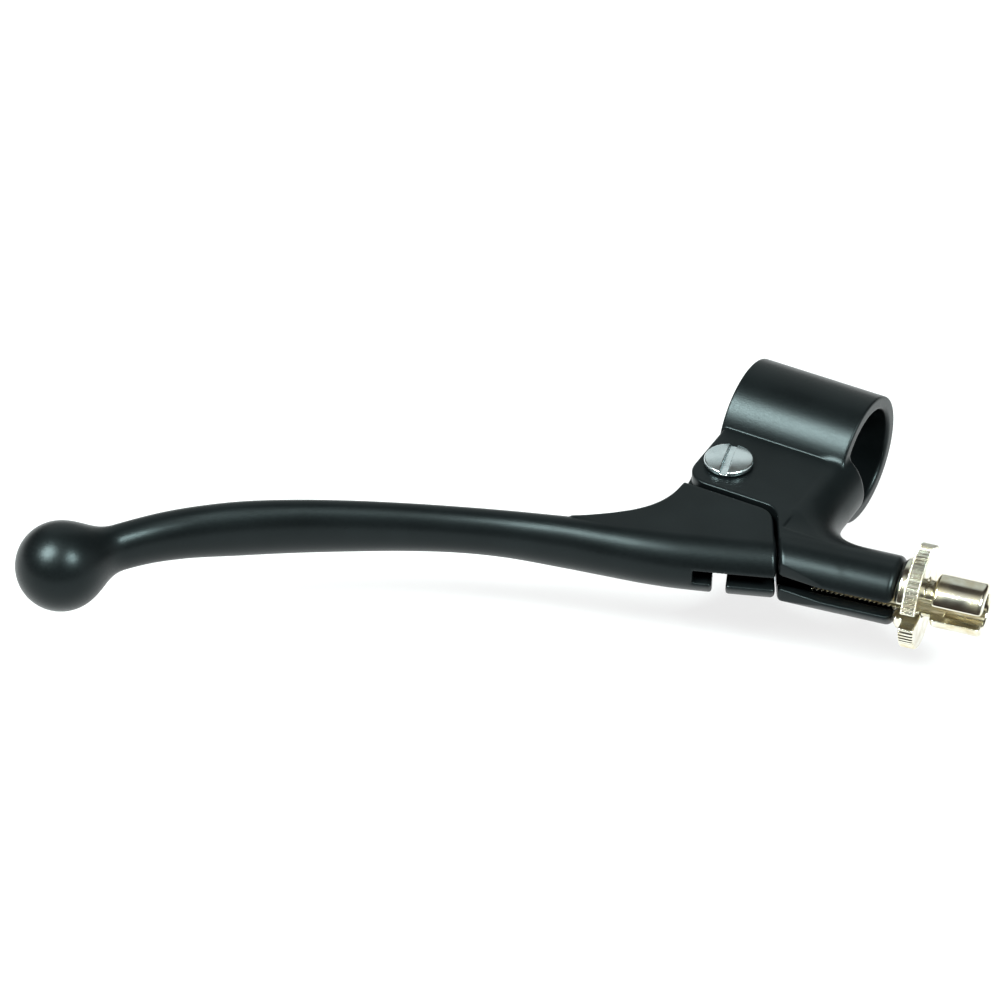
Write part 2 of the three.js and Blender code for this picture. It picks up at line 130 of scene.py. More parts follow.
EAR_X = 6.7
EAR_HALF = 6.2
EAR_FRONT = -22.1
SCREW_Y = -17.2
SCREW_R = 2.95
SCREW_TOP = 2.7
WASHER_R = 6.0
WASHER_H = 1.2
SPRING_R = 5.2
SPRING_H = 1.6
HEAD_FLATS = 10
HEAD_H = 4.0
HEAD_DISH_R = 12.2
HEAD_DISH_DEPTH = 0.7
WASHER_TOP = -CLAMP_R - GAP
SPRING_TOP = WASHER_TOP - WASHER_H - GAP
HEAD_TOP = SPRING_TOP - SPRING_H - GAP

ROOT_HALF = 6.5
FRONT_R = 6.5
BALL = (-107.8, -89.5)
BALL_R = 9.4
NIPPLE_FROM_STOP = 11.9
NIPPLE_R = 4.1
NIPPLE_TOP = 4.6
LEVER_SLOT = 3.0
LEVER_SLOT_LEFT = 5.35
LEVER_SLIT = 2.9
SLIT_ANGLE = math.radians(-68)

# Edges and fillets
CAST_EDGE = 0.35
STOP_EDGE = 0.8
BOSS_END_EDGE = 1.5
BOSS_BLEND = 13.0
BOSS_PROUD = 0.05
RING_BLEND = 1.2
EAR_CORNER_R = 3.0
EAR_EDGE = 0.5
EAR_BLEND = 0.4
BORE_EDGE = 0.9
SLIT_EDGE = 0.5
FORK_EDGE = 0.6
HOLE_EDGE = 0.4
THREAD_HOLE_EDGE = 0.5
BOSS_SLOT_EDGE = 0.7
LEVER_END_EDGE = 0.9
BALL_BLEND = 4.5
TONGUE_EDGE = 0.3
TONGUE_BLEND = 0.6
NIPPLE_EDGE = 0.5
LEVER_SLOT_EDGE = 0.6
ROOT_EDGE = 0.45
ROOT_EDGE_ADDED = 1.8
ROOT_EDGE_FROM = -12.0
ROOT_EDGE_OVER = 12.0
TURNED_EDGE = 0.3

# Threads: depth, and what a thread's distance is scaled by, because its flanks are steep
FINE_THREAD_DEPTH = 0.5
ADJUST_THREAD_DEPTH = 0.62
FINE_THREAD_SLOPE = 0.85
STEEP_SLOPE = 0.8

# Blade sections from the stop end to the ball: x, y, half width, half height, from the pivot
BLADE = np.array([
    (26.0, -16.1, FRONT_R, ROOT_HALF),
    (5.2, -24.0, FRONT_R, ROOT_HALF),
    (-4.0, -27.2, 6.1, 6.4),
    (-12.9, -29.9, 5.3, 6.1),
    (-21.5, -32.4, 4.6, 5.8),
    (-32.9, -35.8, 4.2, 5.3),
    (-42.9, -39.6, 4.1, 5.2),
    (-52.9, -44.2, 4.1, 5.5),
    (-62.9, -49.4, 4.2, 5.9),
    (-72.9, -55.1, 4.3, 6.2),
    (-82.9, -61.6, 4.5, 6.2),
    (-92.4, -69.0, 4.4, 5.6),
    (-99.6, -77.0, 4.2, 5.2),
    (BALL[0], BALL[1], 4.6, 5.2),
])

# ---------------------------------------------------------------- distance fields


def union(a, b, blend=0.0):
    """Joins two solids, with a fillet where they meet if blend is more than 0."""
    if not blend:
        return np.minimum(a, b)
    h = np.maximum(blend - np.abs(a - b), 0) / blend
    return np.minimum(a, b) - h * h * (blend / 4)


def carve(a, tool, edge=0.45):
    """Takes the tool out of a solid and softens the edge that is left."""
    b = -tool
    h = np.maximum(edge - np.abs(a - b), 0) / edge
    return np.maximum(a, b) + h * h * (edge / 4)


def meet(a, b, edge=0.4):
    """What two solids share, with the edge between their faces rounded to that radius."""
    u = a + edge
    v = b + edge
    return np.minimum(np.maximum(u, v), 0) + np.hypot(np.maximum(u, 0), np.maximum(v, 0)) - edge


def between(value, low, high):
    return np.abs(value - (low + high) / 2) - (high - low) / 2


def outline(points, x, y):
    """Signed distance in plan to a closed outline."""
    pts = np.array(points, dtype=np.float32)
    best = np.full(np.broadcast(x, y).shape, 1e9, dtype=np.float32)
    inside = np.zeros(best.shape, dtype=bool)
    for (ax, ay), (bx, by) in zip(pts, np.roll(pts, -1, axis=0)):
        ex, ey = bx - ax, by - ay
        px, py = x - ax, y - ay
        t = np.clip((px * ex + py * ey) / max(ex * ex + ey * ey, 1e-9), 0, 1)
        best = np.minimum(best, (px - t * ex) ** 2 + (py - t * ey) ** 2)
        if ay != by:
            crosses = ((ay > y) != (by > y)) & (px < (y - ay) * ex / ey)
            inside ^= np.broadcast_to(crosses, best.shape)
    return np.where(inside, -1, 1) * np.sqrt(best)


def bezier(p0, p1, p2, p3, count=14):
    t = np.linspace(0, 1, count)[:, None]
    p0, p1, p2, p3 = (np.array(p, dtype=float) for p in (p0, p1, p2, p3))
    curve = (1 - t) ** 3 * p0 + 3 * t * (1 - t) ** 2 * p1 + 3 * t * t * (1 - t) * p2 + t ** 3 * p3
    return [tuple(p) for p in curve]


def quadratic(p0, p1, p2, count=12):
    t = np.linspace(0, 1, count)[:, None]
    p0, p1, p2 = (np.array(p, dtype=float) for p in (p0, p1, p2))
    return [tuple(p) for p in (1 - t) ** 2 * p0 + 2 * t * (1 - t) * p1 + t * t * p2]


def arc(cx, cy, r, start, end, count=14):
    return [(cx + r * math.cos(a), cy + r * math.sin(a)) for a in np.linspace(start, end, count)]


def smooth_path(stations, count=420):
    """A Catmull-Rom curve through rows of numbers."""
    rows = np.vstack([2 * stations[0] - stations[1], stations, 2 * stations[-1] - stations[-2]])
    spans = len(stations) - 1
    s = np.linspace(0, spans, count)
    i = np.minimum(s.astype(int), spans - 1)
    t = (s - i)[:, None]
    a, b, c, d = rows[i], rows[i + 1], rows[i + 2], rows[i + 3]
    return 0.5 * (2 * b + (c - a) * t + (2 * a - 5 * b + 4 * c - d) * t * t
                  + (3 * b - a - 3 * c + d) * t ** 3)


def hexagon(x, y, flats):
    half = flats / 2
    turned = [np.abs(x * math.cos(a) + y * math.sin(a)) for a in (0, math.pi / 3, 2 * math.pi / 3)]
    return np.maximum(np.maximum(turned[0], turned[1]), turned[2]) - half


def adjuster_axes(x, y):
    c, s = math.cos(ADJUST_ANGLE), math.sin(ADJUST_ANGLE)
    dx, dy = x - ADJUST_END[0], y - ADJUST_END[1]
    return dx * c + dy * s, dy * c - dx * s


def beyond_stop(x, y):
    """Signed distance past the stop face, positive on the lever's side."""
    dx, dy = x - PIVOT[0] - STOP_TOP[0], y - PIVOT[1] - STOP_TOP[1]
    return dx * math.sin(STOP_ANGLE) - dy * math.cos(STOP_ANGLE)


def on_cable(distance):
    return (ADJUST_END[0] + distance * math.cos(ADJUST_ANGLE),
            ADJUST_END[1] + distance * math.sin(ADJUST_ANGLE))


def stop_distance():
    c, s = math.cos(ADJUST_ANGLE), math.sin(ADJUST_ANGLE)
    dx = PIVOT[0] + STOP_TOP[0] - ADJUST_END[0]
    dy = PIVOT[1] + STOP_TOP[1] - ADJUST_END[1]
    return dx * c + dy * s - (dy * c - dx * s) / math.tan(STOP_ANGLE - ADJUST_ANGLE)


STOP_X = stop_distance()

# ---------------------------------------------------------------- meshes


def place(name, points, faces, node, body, look):
    """Makes a smooth piece that stands for a CAD node and moves with its body."""
    mesh = bpy.data.meshes.new(name)
    mesh.vertices.add(len(points))
    mesh.vertices.foreach_set("co", np.ascontiguousarray(points * MM, dtype=np.float32).ravel())
    mesh.loops.add(faces.size)
    mesh.loops.foreach_set("vertex_index", np.ascontiguousarray(faces, dtype=np.int32).ravel())
    mesh.polygons.add(len(faces))
    mesh.polygons.foreach_set("loop_start", np.arange(0, faces.size, faces.shape[1], dtype=np.int32))
    mesh.polygons.foreach_set("use_smooth", np.ones(len(faces), dtype=bool))
    mesh.update(calc_edges=True)
    mesh.validate()
    mesh.materials.append(look)
    piece = bpy.data.objects.new(name, mesh)
    bpy.context.scene.collection.objects.link(piece)
    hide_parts(node)
    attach(piece, body)
    return piece


def sculpt(name, field, low, high, voxel, node, body, look, turn=None):
    """Meshes a distance field inside a box, then places it."""
    sides = [np.arange(lo - 2 * voxel, hi + 3 * voxel, voxel, dtype=np.float32)
             for lo, hi in zip(low, high)]
    x = sides[0][:, None, None]
    y = sides[1][None, :, None]
    z = sides[2][None, None, :]
    band = 3 * voxel
    shape = tuple(len(side) for side in sides)
    values = np.clip(np.broadcast_to(field(x, y, z), shape), -band, band).astype(np.float32)
    grid = openvdb.FloatGrid(band)
    grid.copyFromArray(np.ascontiguousarray(values))
    points, quads = grid.convertToQuads(0.0)
    points = points * voxel + np.array([side[0] for side in sides])
    corners = points[quads]
    volume = np.einsum("ij,ij->i", corners[:, 0], np.cross(corners[:, 1], corners[:, 2])).sum()
    if volume < 0:
        quads = quads[:, ::-1]
    if turn is not None:
        matrix = np.array(turn)
        points = points @ matrix[:3, :3].T + matrix[:3, 3]
    print(name, len(quads))
    return place(name, points, quads, node, body, look)


# ---------------------------------------------------------------- materials


def new_material(name, color, metallic, roughness):
    material = bpy.data.materials.new(name)
    material.use_nodes = True
    shader = material.node_tree.nodes["Principled BSDF"]
    shader.inputs["Base Color"].default_value = (*color, 1)
    shader.inputs["Metallic"].default_value = metallic
    shader.inputs["Roughness"].default_value = roughness
    return material, material.node_tree.nodes, material.node_tree.links, shader


def noise(nodes, links, scale, detail=2.0, rough=0.5, stretch=None):
    coordinates = nodes.new("ShaderNodeTexCoord")
    texture = nodes.new("ShaderNodeTexNoise")
    texture.inputs["Scale"].default_value = scale
    texture.inputs["Detail"].default_value = detail
    texture.inputs["Roughness"].default_value = rough
    source = coordinates.outputs["Object"]
    if stretch:
        mapping = nodes.new("ShaderNodeMapping")
        mapping.inputs["Scale"].default_value = stretch
        links.new(source, mapping.inputs["Vector"])
        source = mapping.outputs["Vector"]
    links.new(source, texture.inputs["Vector"])
    return texture.outputs["Fac"]


def ranged(nodes, links, value, low, high, to_low, to_high):
    node = nodes.new("ShaderNodeMapRange")
    node.inputs["From Min"].default_value = low
    node.inputs["From Max"].default_value = high
    node.inputs["To Min"].default_value = to_low
    node.inputs["To Max"].default_value = to_high
    links.new(value, node.inputs["Value"])
    return node.outputs["Result"]


def mixed(nodes, links, factor, a, b):
    node = nodes.new("ShaderNodeMix")
    node.data_type = "RGBA"
    links.new(factor, node.inputs["Factor"])
    for value, socket in ((a, "A"), (b, "B")):
        target = node.inputs[6 if socket == "A" else 7]
        if isinstance(value, tuple):
            target.default_value = (*value, 1)
        else:
            links.new(value, target)
    return node.outputs[2]


def bumped(nodes, links, shader, height, distance, strength, normal=None):
    bump = nodes.new("ShaderNodeBump")
    bump.inputs["Distance"].default_value = distance
    bump.inputs["Strength"].default_value = strength
    links.new(height, bump.inputs["Height"])
    if normal is not None:
        links.new(normal, bump.inputs["Normal"])
    links.new(bump.outputs["Normal"], shader.inputs["Normal"])
    return bump.outputs["Normal"]


def black_coating():
    """Satin powder coat on an aluminium casting."""
    material, nodes, links, shader = new_material("black_coating", (0.0020, 0.0025, 0.0027), 0.0, 0.34)
    shader.inputs["Specular IOR Level"].default_value = 0.20
    shader.inputs["Specular Tint"].default_value = (0.82, 0.97, 1.0, 1)
    broad = noise(nodes, links, 90, 3)
    peel = noise(nodes, links, 2200, 2)
    fine = noise(nodes, links, 4200, 2, 0.6)
    tint = ranged(nodes, links, broad, 0.3, 0.7, 0, 1)
    links.new(mixed(nodes, links, tint, (0.0016, 0.0021, 0.0023), (0.0028, 0.0036, 0.0039)),
              shader.inputs["Base Color"])
    links.new(ranged(nodes, links, peel, 0.3, 0.7, 0.30, 0.36), shader.inputs["Roughness"])
    first = bumped(nodes, links, shader, peel, 0.000012, 0.5)
    bumped(nodes, links, shader, fine, 0.000016, 0.7, first)
    return material


def plated(name, color, stain, roughness, scratch):
    """Plated steel or brass, with faint turning marks and stains."""
    material, nodes, links, shader = new_material(name, color, 1.0, roughness)
    broad = noise(nodes, links, 260, 3)
    fine = noise(nodes, links, 2600, 2)
    tint = ranged(nodes, links, broad, 0.42, 0.72, 0, 1)
    links.new(mixed(nodes, links, tint, color, stain), shader.inputs["Base Color"])
    links.new(ranged(nodes, links, broad, 0.3, 0.75, roughness * 0.75, roughness * 1.5),
              shader.inputs["Roughness"])
    bumped(nodes, links, shader, fine, 0.000006, scratch)
    return material


def plain(name, color, metallic, roughness, scale):
    material, nodes, links, shader = new_material(name, color, metallic, roughness)
    broad = noise(nodes, links, scale, 3)
    darker = tuple(0.7 * c for c in color)
    links.new(mixed(nodes, links, broad, darker, color), shader.inputs["Base Color"])
    links.new(ranged(nodes, links, broad, 0.3, 0.7, roughness * 0.8, roughness * 1.25),
              shader.inputs["Roughness"])
    return material


BLACK = black_coating()
ZINC = plated("zinc_plate", (0.82, 0.90, 0.92), (0.62, 0.70, 0.72), 0.22, 0.3)
NICKEL = plated("nickel_plate", (0.80, 0.77, 0.66), (0.62, 0.53, 0.36), 0.15, 0.3)
BRONZE = plain("bronze", (0.45, 0.27, 0.10), 1.0, 0.35, 500)
NYLON = plain("nylon", (0.03, 0.10, 0.32), 0.0, 0.45, 700)

# ---------------------------------------------------------------- perch


def plate_outline():
    left = PIVOT[0] - LUG_LEFT
    front = PIVOT[1] - LUG_FRONT
    stop = (PIVOT[0] + STOP_TOP[0], PIVOT[1] + STOP_TOP[1])
    stop_mid = on_cable(STOP_X)
    tip = on_cable(-1.4)
    points = [(left, -BAR_R / 2)]
    points += arc(left + LUG_CORNER_R, front + LUG_CORNER_R, LUG_CORNER_R, math.pi, 1.5 * math.pi)
    points += quadratic((stop[0] - 4.2, front), (stop[0] - 1.6, front), stop)
    points += [stop_mid, tip, (SIDE_X, tip[1]), (SIDE_X, -BAR_R / 2)]
    return points


def perch_field(x, y, z):
    along, across = adjuster_axes(x, y)
    ring_radius = np.hypot(y, z)
    ring = meet(ring_radius - CLAMP_R, np.abs(x) - CLAMP_END, CAST_EDGE)
    plate = meet(outline(plate_outline(), x, y), np.abs(z) - PLATE_HALF, CAST_EDGE)

    side = np.maximum(np.maximum(np.abs(x - SIDE_X) - PLATE_HALF, 4 - across), y - BAR_R / 2)
    boss = np.abs(across) - BOSS_R
    plan = union(side, boss, BOSS_BLEND)
    casting = meet(plan, np.abs(z) - PLATE_HALF - BOSS_PROUD, PLATE_HALF)
    casting = meet(casting, beyond_stop(x, y), STOP_EDGE)
    casting = meet(casting, along, BOSS_END_EDGE)

    ear_plan = meet(np.abs(x - EAR_X) - EAR_HALF, between(y, EAR_FRONT, -BAR_R / 4), EAR_CORNER_R)
    ear = meet(ear_plan, between(z, -CLAMP_R, -PLATE_HALF - CLAMP_SLIT), EAR_EDGE)
    body = np.minimum(union(ring, casting, RING_BLEND), plate)
    body = union(body, ear, EAR_BLEND)

    body = carve(body, ring_radius - BAR_R, BORE_EDGE)
    slit = np.maximum(between(z, -PLATE_HALF - CLAMP_SLIT, -PLATE_HALF), y + BAR_R / 3)
    body = carve(body, slit, SLIT_EDGE)

    px, py = x - PIVOT[0], y - PIVOT[1]
    fork_plan = outline([
        (-FORK_R - 4, 0), (FORK_R, 0), (STOP_TOP[0] - 1.8, -LUG_FRONT + 0.6),
        (STOP_TOP[0] - 1.8, -LUG_FRONT - 4), (-FORK_R - 4, -LUG_FRONT - 4),
    ], px, py)
    fork_plan = np.minimum(fork_plan, np.hypot(px, py) - FORK_R)
    body = carve(body, np.maximum(fork_plan, np.abs(z) - FORK_HALF), FORK_EDGE)
    body = carve(body, np.hypot(px, py) - PIVOT_R - GAP, HOLE_EDGE)
    body = carve(body, np.hypot(across, z) - THREAD_R - GAP, THREAD_HOLE_EDGE)
    body = carve(body, np.maximum(across, np.abs(z) - BOSS_SLOT / 2), BOSS_SLOT_EDGE)
    screw_hole = np.maximum(np.hypot(x - EAR_X, y - SCREW_Y) - SCREW_R - GAP, z - SCREW_TOP - GAP)
    return carve(body, screw_hole, HOLE_EDGE)


# ---------------------------------------------------------------- lever


def root_outline():
    step = -(LUG_FRONT + STEP_GAP)
    c, s = math.cos(STOP_ANGLE), math.sin(STOP_ANGLE)
    end = (STOP_TOP[0] + s * STOP_GAP, STOP_TOP[1] - c * STOP_GAP)

    def end_at(y):
        return end[0] + (y - end[1]) * c / s

    low = BLADE[0][1] - 2.5
    points = [(-LUG_LEFT + 0.6, step)]
    corner = end_at(step)
    points += quadratic((corner - 3.2, step), (corner - 0.4, step), (end_at(step - 3), step - 3))
    points.append((end_at(low), low))
    points += [(row[0], row[1]) for row in BLADE[1:5]]
    points += bezier((-22.2, -29.4), (-11.8, -25.6), (-5.9, -19.6), (-LUG_LEFT + 0.5, step - 2), 24)
    return points


def along_blade(px, py):
    """Distance to the blade's middle line in plan, and the blade's half width and height there."""
    path = smooth_path(BLADE)
    shape = np.broadcast(px, py).shape
    best = np.full(shape, 1e9, dtype=np.float32)
    width = np.ones(shape, dtype=np.float32)
    height = np.ones(shape, dtype=np.float32)
    for a, b in zip(path[:-1], path[1:]):
        ex, ey = b[0] - a[0], b[1] - a[1]
        t = np.clip(((px - a[0]) * ex + (py - a[1]) * ey) / (ex * ex + ey * ey), 0, 1)
        distance = (px - a[0] - t * ex) ** 2 + (py - a[1] - t * ey) ** 2
        closer = distance < best
        best = np.where(closer, distance, best)
        width = np.where(closer, a[2] + t * (b[2] - a[2]), width)
        height = np.where(closer, a[3] + t * (b[3] - a[3]), height)
    return np.sqrt(best), width, height


def oval(off, z, width, height):
    """Distance to a bar of oval section."""
    u = off / width
    v = z / height
    reach = np.sqrt(u * u + v * v + 1e-9)
    slope = np.sqrt((u / width) ** 2 + (v / height) ** 2) / reach
    return (reach - 1) / np.maximum(slope, 0.05)


def lever_field(x, y, z):
    px, py = x - PIVOT[0], y - PIVOT[1]
    off, width, height = along_blade(px, py)
    fade = np.clip((ROOT_EDGE_FROM - px) / ROOT_EDGE_OVER, 0, 1)
    edge = ROOT_EDGE + ROOT_EDGE_ADDED * fade * fade * (3 - 2 * fade)
    root = meet(outline(root_outline(), px, py), np.abs(z) - height, edge)
    body = np.minimum(root, oval(off, z, width, height))
    body = meet(body, STOP_GAP - beyond_stop(x, y), LEVER_END_EDGE)
    ball = np.sqrt((px - BALL[0]) ** 2 + (py - BALL[1]) ** 2 + z ** 2) - BALL_R
    body = union(body, ball, BALL_BLEND)

    reach = -(LUG_FRONT + STEP_GAP + 1)
    web = outline([
        (-TONGUE_R + 0.1, -1), (-LUG_LEFT + 0.6, reach),
        (STOP_TOP[0] - 3.8, reach), (TONGUE_R * 0.96, 2),
    ], px, py)
    tongue_plan = np.minimum(np.hypot(px, py) - TONGUE_R, web)
    body = union(body, meet(tongue_plan, np.abs(z) - TONGUE_HALF, TONGUE_EDGE), TONGUE_BLEND)

    body = carve(body, np.hypot(px, py) - BUSH_R - GAP, HOLE_EDGE)
    nipple = on_cable(STOP_X - NIPPLE_FROM_STOP)
    c, s = math.cos(SLIT_ANGLE + math.pi / 2), math.sin(SLIT_ANGLE + math.pi / 2)
    nx = (x - nipple[0]) * c + (y - nipple[1]) * s
    ny = (y - nipple[1]) * c - (x - nipple[0]) * s
    body = carve(body, np.maximum(np.hypot(nx, ny) - NIPPLE_R, z - NIPPLE_TOP), NIPPLE_EDGE)
    slot_plan = np.maximum(ny - LEVER_SLOT / 2, -LEVER_SLOT_LEFT - nx)
    body = carve(body, np.maximum(slot_plan, np.abs(z) - LEVER_SLOT / 2), LEVER_SLOT_EDGE)
    slit = np.maximum(np.maximum(ny, np.abs(nx) - LEVER_SLIT / 2), z)
    return carve(body, slit, LEVER_SLOT_EDGE)


# ---------------------------------------------------------------- turned and threaded pieces


def thread(radius, along, angle, depth):
    """Distance to a threaded rod: rounded crests and roots."""
    phase = along / THREAD_PITCH - angle / (2 * math.pi)
    wave = np.abs((phase % 1.0) * 2 - 1)
    return radius + depth * (np.clip(wave, 0.12, 0.88) - 0.88)


def pivot_screw_field(x, y, z):
    c, s = math.cos(PIVOT_SLOT_TURN), math.sin(PIVOT_SLOT_TURN)
    radius = np.hypot(x, y)
    rim = PIVOT_HEAD_Z + PIVOT_RIM
    dome_r = (PIVOT_HEAD_R ** 2 + PIVOT_DOME ** 2) / (2 * PIVOT_DOME)
    dome = np.sqrt(radius ** 2 + (z - rim - PIVOT_DOME + dome_r) ** 2) - dome_r
    head = meet(radius - PIVOT_HEAD_R, np.maximum(dome, PIVOT_HEAD_Z - z), 0.28)
    groove = np.maximum(np.abs(x * c + y * s) - PIVOT_SLOT_HALF, rim - PIVOT_SLOT_DEPTH - z)
    head = carve(head, groove, 0.3)
    angle = np.arctan2(y, x)
    wall = np.where(z < NUT_TOP + 2, thread(PIVOT_R, z, angle, FINE_THREAD_DEPTH), PIVOT_R)
    shank = meet((radius - wall) * FINE_THREAD_SLOPE,
                 between(z, NUT_BOTTOM - 0.8, PIVOT_HEAD_Z + 0.5), TURNED_EDGE)
    return np.minimum(head, shank)


def pivot_nut_field(x, y, z):
    radius = np.hypot(x, y)
    solid = meet(hexagon(x, y, NUT_FLATS), between(z, NUT_BOTTOM, NUT_TOP), 0.12)
    corner = NUT_FLATS / math.sqrt(3)
    solid = np.maximum(solid, (radius - corner + 0.35 + (z - NUT_TOP + 0.35)) * 0.7)
    collar = radius - NUT_FLATS / 2 + 0.1
    collar = np.where(z < NUT_BOTTOM + NUT_NECK_H, collar, -9)
    solid = carve(np.maximum(solid, np.broadcast_to(collar, solid.shape)), radius - PIVOT_R - GAP, 0.4)
    seat = np.maximum(radius - INSERT_R - GAP, z - NUT_BOTTOM - INSERT_H - GAP)
    return carve(solid, seat, 0.3)


def sleeve_field(outer, inner, bottom, top, edge):
    def field(x, y, z):
        radius = np.hypot(x, y)
        return carve(meet(radius - outer, between(z, bottom, top), edge), radius - inner, 2 * edge)
    return field


def spring_washer_field(x, y, z):
    ring = sleeve_field(SPRING_R, SCREW_R + GAP, SPRING_TOP - SPRING_H, SPRING_TOP, 0.15)(x, y, z)
    return carve(ring, np.maximum(np.abs(y + 0.25 * (z - SPRING_TOP + 0.8)) - 0.5, -x), 0.2)


def clamp_screw_field(x, y, z):
    radius = np.hypot(x, y)
    bottom = HEAD_TOP - HEAD_H
    head = meet(hexagon(x, y, HEAD_FLATS), between(z, bottom, HEAD_TOP), 0.12)
    corner = HEAD_FLATS / math.sqrt(3)
    head = np.maximum(head, (radius - corner + 0.5 - (z - bottom - 0.1)) * 0.72)
    dish = np.sqrt(radius ** 2 + (z - bottom + HEAD_DISH_R - HEAD_DISH_DEPTH) ** 2) - HEAD_DISH_R
    head = carve(head, dish, 0.3)
    angle = np.arctan2(y, x)
    wall = thread(SCREW_R, z, angle, FINE_THREAD_DEPTH)
    shank = meet((radius - wall) * FINE_THREAD_SLOPE, between(z, HEAD_TOP - 1, SCREW_TOP), TURNED_EDGE)
    return np.minimum(head, shank)


def adjuster_slot(across, z):
    """The cable slot, from the axis outwards."""
    c, s = math.cos(ADJUST_SLOT_TURN), math.sin(ADJUST_SLOT_TURN)
    return np.maximum(across * c - z * s, np.abs(z * c + across * s) - ADJUST_SLOT / 2)


def adjuster_field(along, across, z):
    radius = np.hypot(across, z)
    angle = np.arctan2(z, across)
    rod = meet((radius - thread(THREAD_R, along, angle, ADJUST_THREAD_DEPTH)) * STEEP_SLOPE,
               between(along, -THREAD_LENGTH, WHEEL_TO + 0.6), TURNED_EDGE)
    neck = meet(radius - THREAD_R + 0.1, between(along, WHEEL_TO, BARREL_FROM + 1), 0.2)
    barrel = meet(radius - BARREL_R, between(along, BARREL_FROM, BARREL_TO), 0.9)
    body = union(union(rod, neck), barrel, 0.5)
    body = carve(body, radius - CABLE_R, TURNED_EDGE)
    body = carve(body, np.maximum(radius - SOCKET_R, BARREL_TO - SOCKET_DEPTH - along), 0.5)
    return carve(body, adjuster_slot(across, z), 0.35)


def wheel_field(along, across, z):
    radius = np.hypot(across, z)
    angle = np.arctan2(z, -across)
    wall = WHEEL_R - 0.35 * (0.5 - 0.5 * np.cos(WHEEL_RIBS * angle)) ** 2
    wheel = meet((radius - wall) * STEEP_SLOPE, between(along, COLLAR_LENGTH, WHEEL_TO), 0.35)
    collar = meet(radius - COLLAR_R, between(along, GAP, COLLAR_LENGTH + 1), 0.2)
    chamfer = (radius - COLLAR_R + 0.7 - (along - GAP)) * 0.7071
    body = union(wheel, np.maximum(collar, chamfer), 0.5)
    body = carve(body, radius - THREAD_R - GAP, HOLE_EDGE)
    return carve(body, adjuster_slot(across, z), HOLE_EDGE)


# ---------------------------------------------------------------- pieces

# Each call gives the field, its box's corners, the voxel's side, then the CAD node, body and slot.

coarse = 1.0

sculpt("perch_casting", perch_field, (-15, -45.5, -14.6), (41, 14.6, 14.6), 0.25 * coarse,
       "perch_body", "perch", BLACK)
sculpt("lever_casting", lever_field, (-126, -124, -9.8), (16, -15, 9.8), 0.3 * coarse,
       "lever_blade", "lever", BLACK)

at_pivot = Matrix.Translation((PIVOT[0], PIVOT[1], 0))
at_screw = Matrix.Translation((EAR_X, SCREW_Y, 0))
at_adjuster = Matrix.Translation((*ADJUST_END, 0)) @ Matrix.Rotation(ADJUST_ANGLE, 4, "Z")

sculpt("pivot_screw_slotted", pivot_screw_field, (-5.3, -5.3, NUT_BOTTOM - 1), (5.3, 5.3, 9),
       0.13 * coarse, "pivot_screw", "perch", ZINC, at_pivot)
sculpt("pivot_bush_turned", sleeve_field(BUSH_R, PIVOT_R + GAP, -TONGUE_HALF, TONGUE_HALF, 0.15),
       (-4.6, -4.6, -3.5), (4.6, 4.6, 3.5), 0.2 * coarse,
       "pivot_bush", "lever", BRONZE, at_pivot)
sculpt("pivot_nut_locking", pivot_nut_field, (-5.9, -5.9, NUT_BOTTOM), (5.9, 5.9, NUT_TOP),
       0.15 * coarse, "pivot_nut", "perch", ZINC, at_pivot)
sculpt("pivot_nut_ring", sleeve_field(INSERT_R, PIVOT_R + GAP, NUT_BOTTOM, NUT_BOTTOM + INSERT_H, 0.15),
       (-4.5, -4.5, NUT_BOTTOM), (4.5, 4.5, NUT_BOTTOM + INSERT_H), 0.15 * coarse,
       "pivot_nut_insert", "perch", NYLON, at_pivot)
sculpt("clamp_screw_hex", clamp_screw_field, (-5.9, -5.9, HEAD_TOP - HEAD_H), (5.9, 5.9, SCREW_TOP),
       0.15 * coarse, "clamp_screw", "perch", ZINC, at_screw)
sculpt("clamp_washer_flat", sleeve_field(WASHER_R, SCREW_R + GAP, WASHER_TOP - WASHER_H, WASHER_TOP, 0.15),
       (-6.1, -6.1, WASHER_TOP - WASHER_H), (6.1, 6.1, WASHER_TOP), 0.15 * coarse,
       "clamp_washer", "perch", ZINC, at_screw)
sculpt("clamp_washer_split", spring_washer_field,
       (-5.3, -5.3, SPRING_TOP - SPRING_H), (5.3, 5.3, SPRING_TOP), 0.15 * coarse,
       "clamp_spring_washer", "perch", ZINC, at_screw)
sculpt("adjuster_threaded", adjuster_field, (-THREAD_LENGTH, -5.6, -5.6), (BARREL_TO, 5.6, 5.6),
       0.125 * coarse, "adjuster_screw", "adjuster", NICKEL, at_adjuster)
sculpt("lock_wheel_ribbed", wheel_field, (GAP, -10.9, -10.9), (WHEEL_TO, 10.9, 10.9),
       0.1 * coarse, "lock_wheel", "lock_wheel", NICKEL, at_adjuster)

# ---------------------------------------------------------------- floor, light and camera


def floor():
    height = cad_box[0][2] - 0.0004
    mesh = bpy.data.meshes.new("floor")
    half = 6.0
    corners = [(-half, -half, height), (half, -half, height), (half, half, height), (-half, half, height)]
    mesh.from_pydata(corners, [], [(0, 1, 2, 3)])
    material, nodes, links, shader = new_material("floor_white", (0.20, 0.20, 0.20), 0.0, 0.9)
    shader.inputs["Specular IOR Level"].default_value = 0.0
    shader.inputs["Emission Color"].default_value = (1, 1, 1, 1)
    shader.inputs["Emission Strength"].default_value = 0.80
    mesh.materials.append(material)
    piece = bpy.data.objects.new("floor", mesh)
    bpy.context.scene.collection.objects.link(piece)


